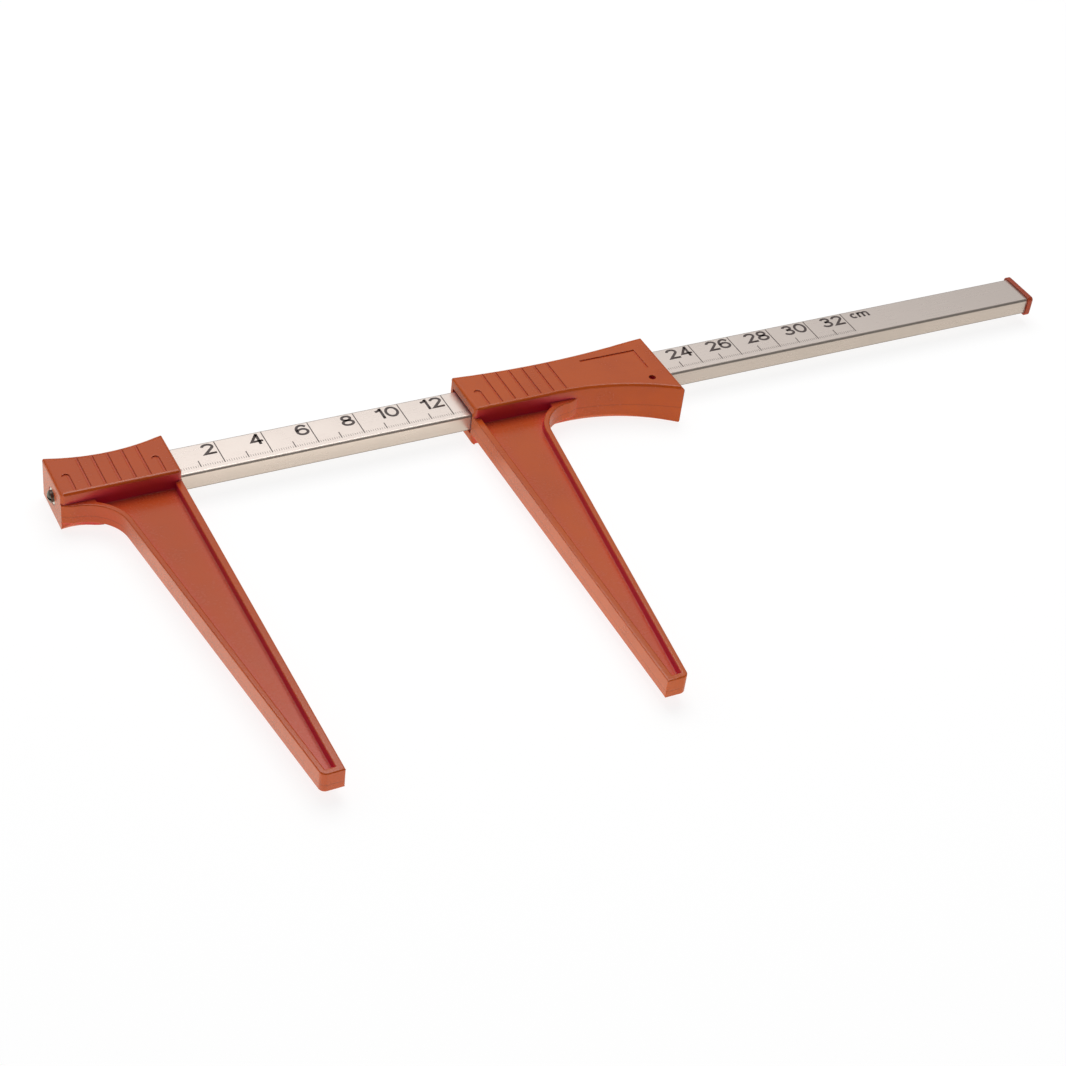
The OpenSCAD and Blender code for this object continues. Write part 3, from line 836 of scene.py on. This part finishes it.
class CALIPER_OT_printed_scale(bpy.types.Operator):
    """Prints the centimetre scale on the bar: long and short marks, ticks, numerals and unit"""

    bl_idname = "caliper.printed_scale"
    bl_label = "Printed Scale"

    def mark(self, bm, x, front, back, width):
        """Adds one flat mark."""
        made = rectangle(bm, width, back - front)
        middle = (x, BAR_MIDDLE_Y + (front + back) / 2, BAR_HIGH.z)
        bmesh.ops.translate(bm, vec=middle, verts=made)

    def marks(self, ink):
        """Long marks at even centimetres, short ones at odd centimetres, and ticks."""
        size = sizes()
        bm = bmesh.new()
        front = -size.mark_front
        for mm in range(1, size.last_mark * MARK_STEP + 1):
            x = SCALE_ZERO + mm * MM
            if mm % LONG_STEP == 0:
                self.mark(bm, x, front, size.mark_back, size.mark_width)
            elif mm % MARK_STEP == 0:
                self.mark(bm, x, front, front + size.half_mark, size.mark_width)
            else:
                self.mark(bm, x, front, front + size.tick_length, size.tick_width)
        grown = bmesh.ops.extrude_face_region(bm, geom=list(bm.faces))
        drawn_out(bm, grown, (0.0, 0.0, size.print_height))
        bmesh.ops.recalc_face_normals(bm, faces=bm.faces)
        seated(bm, "scale_marks", ink, "beam")

    def lettering(self, words, name, ink, height, stroke):
        """Prints words, each with the place along the bar where it starts and its baseline."""
        size = sizes()
        bm = bmesh.new()
        for word, x, base in words:
            for letter in word:
                start = Vector((x, BAR_MIDDLE_Y + base, BAR_HIGH.z))
                joined(bm, figure(letter, height), start)
                x += FIGURES[letter][0] * height + size.figure_gap
        piece = seated(bm, name, ink, "beam")
        solid = piece.modifiers.new("stroke", "SOLIDIFY")
        solid.thickness = stroke
        solid.offset = 0.0
        solid.use_even_offset = True

    def execute(self, context):
        size = sizes()
        ink = ink_finish()
        self.marks(ink)
        tall, gap = size.numeral_height, size.figure_gap
        words = []
        for mark in range(NUMERAL_STEP, size.last_mark + 1, NUMERAL_STEP):
            word = str(mark)
            wide = sum(FIGURES[f][0] for f in word) * tall + (len(word) - 1) * gap
            end = SCALE_ZERO + mark * MARK_STEP * MM - size.numeral_gap
            words.append((word, end - wide, size.numeral_base))
        self.lettering(words, "scale_numerals", ink, tall, size.numeral_stroke)
        start = SCALE_ZERO + size.last_mark * MARK_STEP * MM + size.unit_gap
        unit = ("cm", start, size.unit_base)
        stroke = UNIT_STROKE * size.unit_height
        self.lettering([unit], "scale_unit", ink, size.unit_height, stroke)
        return {"FINISHED"}


class CALIPER_OT_end_cap(bpy.types.Operator):
    """Builds the moulded cap on the bar's free end"""

    bl_idname = "caliper.end_cap"
    bl_label = "End Cap"

    def execute(self, context):
        size = sizes()
        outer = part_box("end_cap")[1].x
        inner = outer - size.cap_flange
        bm = merged_copy("end_cap")
        flange = [v for v in bm.verts if abs(v.co.x - BAR_HIGH.x) < NEAR]
        bmesh.ops.translate(bm, vec=(inner - BAR_HIGH.x, 0.0, 0.0), verts=flange)
        rounded(bm, size.cap_round, EDGE_STEPS, lambda e: at_side(e, outer))
        rounded(bm, size.mouth_round, SMALL_STEPS, lambda e: e.is_convex and at_side(e, inner))
        red = colours().cap_red
        deep = toned(red, 0.75)
        # Darker tones of the cap's red: flow marks, and the painted shade in its recesses and
        # corners
        plastic = moulded_finish("cap_moulding", red, deep, deep, toned(red, 0.5))
        piece = seated(bm, "end_cap_moulded", plastic, "beam")
        evened(piece)
        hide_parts("end_cap")
        return {"FINISHED"}


class CALIPER_OT_jaw_screw(bpy.types.Operator):
    """Builds the slotted pan-head screw and its washer in the fixed head's end"""

    bl_idname = "caliper.jaw_screw"
    bl_label = "Jaw Screw"

    def execute(self, context):
        size = sizes()
        shades = colours()
        finishes = {
            "jaw_screw": steel_finish("screw_blackening", shades.screw),
            "jaw_washer": steel_finish("washer_plating", shades.steel),
        }

        def radius(vert):
            return (vert.co - BAR_MIDDLE).yz.length

        for node, steel in finishes.items():
            low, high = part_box(node)
            reach = (high.y - low.y) / 2 - FASTENER_PLAY
            bm = merged_copy(node)
            rim = [v for v in bm.verts if radius(v) > reach]
            rounded(
                bm, size.fastener_round, EDGE_STEPS,
                lambda e: at_side(e, low.x) and all(v in rim for v in e.verts),
            )
            if node == "jaw_screw":
                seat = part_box("jaw_washer")[0].x - FASTENER_PLAY
                head = [v for v in bm.verts if v.co.x < seat or radius(v) > SHANK_RIM]
                share = size.screw_head / (high.y - low.y)
                centre = Matrix.Translation(-BAR_MIDDLE)
                bmesh.ops.scale(bm, vec=(1.0, share, share), space=centre, verts=head)
            piece = seated(bm, node + "_plated", steel, "beam")
            evened(piece)
            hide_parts(node)
        return {"FINISHED"}


class CALIPER_OT_inner_pieces(bpy.types.Operator):
    """Finishes the pieces inside the heads: plug, pin, glide pads, brake shoe and spring"""

    bl_idname = "caliper.inner_pieces"
    bl_label = "Inner Pieces"

    def execute(self, context):
        glide = glide_finish()
        steel = steel_finish("inner_plating", colours().steel)
        finishes = {
            "bar_plug": plug_finish(),
            "plug_pin": steel,
            "brake_spring": steel,
            "brake_shoe": glide,
        }
        for side in ("front", "back", "upper", "lower"):
            finishes[side + "_glide_inner"] = glide
            finishes[side + "_glide_outer"] = glide
        for node, material in finishes.items():
            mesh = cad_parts[node].data
            mesh.materials.clear()
            mesh.materials.append(material)
        return {"FINISHED"}


class CALIPER_OT_stage(bpy.types.Operator):
    """Sets the pale floor, the soft studio light and the camera"""

    bl_idname = "caliper.stage"
    bl_label = "Stage"

    def floor_finish(self, studio):
        """White where it is seen, with the caliper's shadow, and warmer in mirror images."""
        made, bench = finish("studio_white")
        seen, shiny = bench.ray("Is Camera Ray"), bench.ray("Is Glossy Ray")
        through = bench.ray("Is Transmission Ray")
        where = bench.place()
        paper = bench.noise(where, 400.0, 3.0)
        matte = bench.node("ShaderNodeBsdfDiffuse", None, {
            "Color": bench.blend(paper * 0.2, PAPER_PALE, PAPER_DULL),
        })
        across, along = bench.part(where, "X"), bench.part(where, "Y")
        reach = bench.node("ShaderNodeVectorMath", {"operation": "LENGTH"}, {0: where}, "Value")
        far = bench.ramp(reach, *FLOOR_FADE)
        near = bench.ramp(across, *NEAR_FADE)
        left = bench.ramp(across, *LEFT_FADE) * bench.ramp(along, *FRONT_FADE)
        left = bench.limit(left + bench.ramp(across, *OUTER_FADE) * 0.3)
        mirrored = bench.blend(shiny, WHITE, WARM_WHITE)
        bright = 1.0 + shiny * (left * MIRROR_LEFT + near * MIRROR_NEAR + MIRROR_ALL)
        white = bench.node("ShaderNodeEmission", None, {
            "Color": bench.blend(1.0, mirrored, bright, "MULTIPLY"),
        })
        glow = bench.node("ShaderNodeEmission", None, {
            "Color": bench.limit(1.0 - seen * 0.75 - shiny), "Strength": studio.glow,
        })
        lit = bench.node("ShaderNodeAddShader", None, {0: matte, 1: glow})
        plain = FLOOR_WHITE + far * (1.0 - FLOOR_WHITE)
        share = bench.limit((seen + through) * plain + shiny)
        both = bench.node("ShaderNodeMixShader", None, {"Fac": share, 1: lit, 2: white})
        bench.node("ShaderNodeOutputMaterial", None, {"Surface": both})
        return made

    def floor(self, studio):
        """Pale floor under the caliper."""
        bm = bmesh.new()
        under = Matrix.Translation((0.0, 0.0, -FLOOR_DROP))
        bmesh.ops.create_grid(bm, x_segments=1, y_segments=1, size=FLOOR_HALF, matrix=under)
        mesh = bpy.data.meshes.new("studio_floor")
        bm.to_mesh(mesh)
        bm.free()
        mesh.materials.append(self.floor_finish(studio))
        ground = bpy.data.objects.new("studio_floor", mesh)
        bpy.context.scene.collection.objects.link(ground)

    def room(self, studio):
        """Room light: white where it is seen, and brighter from high up behind the caliper."""
        world = bpy.data.worlds.new("studio_room")
        world.use_nodes = True
        bench = Bench(world.node_tree)
        seen, through = bench.ray("Is Camera Ray"), bench.ray("Is Transmission Ray")
        where = bench.node("ShaderNodeTexCoord", None, None, "Generated")
        right = bench.ramp(bench.part(where, "X"), *RIGHT_FADE)
        back = bench.ramp(bench.part(where, "Y"), *BACK_FADE)
        high = bench.ramp(bench.part(where, "Z"), *HIGH_FADE)
        grey = ROOM_FRONT + back * high * (ROOM_RISE - right * ROOM_FALL)
        dim = bench.node("ShaderNodeBackground", None, {
            "Color": grey, "Strength": studio.surround,
        })
        white = bench.node("ShaderNodeBackground", None, {"Color": WHITE, "Strength": 1.0})
        share = bench.limit(seen + through)
        both = bench.node("ShaderNodeMixShader", None, {"Fac": share, 1: dim, 2: white})
        bench.node("ShaderNodeOutputWorld", None, {"Surface": both})
        bpy.context.scene.world = world

    def softbox(self, studio):
        """Soft light above the caliper, turned to the origin."""
        light = bpy.data.lights.new("softbox", "AREA")
        light.energy = studio.softbox_power
        light.size = studio.softbox_size
        lamp = bpy.data.objects.new("softbox", light)
        lamp.location = studio.softbox_place
        lamp.rotation_euler = Vector(studio.softbox_place).to_track_quat("Z", "Y").to_euler()
        bpy.context.scene.collection.objects.link(lamp)

    def camera(self, studio):
        """Camera at the picture's angle."""
        turn = (
            Matrix.Rotation(studio.azimuth, 4, "Z")
            @ Matrix.Rotation(math.pi / 2 - studio.elevation, 4, "X")
            @ Matrix.Rotation(studio.roll, 4, "Z")
        )
        away = Matrix.Translation((0.0, 0.0, studio.distance))
        data = bpy.data.cameras.new("picture_camera")
        data.sensor_width = FRAME_WIDTH
        data.lens = studio.lens
        data.clip_start = CLIP_NEAR
        data.clip_end = CLIP_FAR
        eye = bpy.data.objects.new("picture_camera", data)
        eye.matrix_world = Matrix.Translation(studio.target) @ turn @ away
        bpy.context.scene.collection.objects.link(eye)
        bpy.context.scene.camera = eye

    def execute(self, context):
        studio = context.scene.caliper_studio
        self.floor(studio)
        self.room(studio)
        self.softbox(studio)
        self.camera(studio)
        context.scene.view_settings.view_transform = "Standard"
        return {"FINISHED"}


OPERATORS = (
    CALIPER_OT_moulded_jaws,
    CALIPER_OT_scale_bar,
    CALIPER_OT_printed_scale,
    CALIPER_OT_end_cap,
    CALIPER_OT_jaw_screw,
    CALIPER_OT_inner_pieces,
    CALIPER_OT_stage,
)


class CALIPER_PT_sidebar(bpy.types.Panel):
    """Lists the caliper's operators and settings"""

    bl_idname = "CALIPER_PT_sidebar"
    bl_label = "Log Caliper"
    bl_space_type = "VIEW_3D"
    bl_region_type = "UI"
    bl_category = "Caliper"

    def draw(self, context):
        scene = context.scene
        for group in (scene.caliper_sizes, scene.caliper_colours, scene.caliper_studio):
            box = self.layout.box()
            for name in group.__annotations__:
                box.prop(group, name)
        for operator in OPERATORS:
            self.layout.operator(operator.bl_idname)


CLASSES = (CaliperSizes, CaliperColours, CaliperStudio) + OPERATORS + (CALIPER_PT_sidebar,)


def register():
    """Registers the classes and hangs their settings on the scene."""
    for made in CLASSES:
        bpy.utils.register_class(made)
    bpy.types.Scene.caliper_sizes = bpy.props.PointerProperty(type=CaliperSizes)
    bpy.types.Scene.caliper_colours = bpy.props.PointerProperty(type=CaliperColours)
    bpy.types.Scene.caliper_studio = bpy.props.PointerProperty(type=CaliperStudio)


def unregister():
    """Takes the settings and classes away again."""
    del bpy.types.Scene.caliper_studio
    del bpy.types.Scene.caliper_colours
    del bpy.types.Scene.caliper_sizes
    for made in reversed(CLASSES):
        bpy.utils.unregister_class(made)


def main():
    """Builds the caliper."""
    register()
    bpy.ops.caliper.moulded_jaws()
    bpy.ops.caliper.scale_bar()
    bpy.ops.caliper.printed_scale()
    bpy.ops.caliper.end_cap()
    bpy.ops.caliper.jaw_screw()
    bpy.ops.caliper.inner_pieces()
    bpy.ops.caliper.stage()


if __name__ == "__main__":
    main()
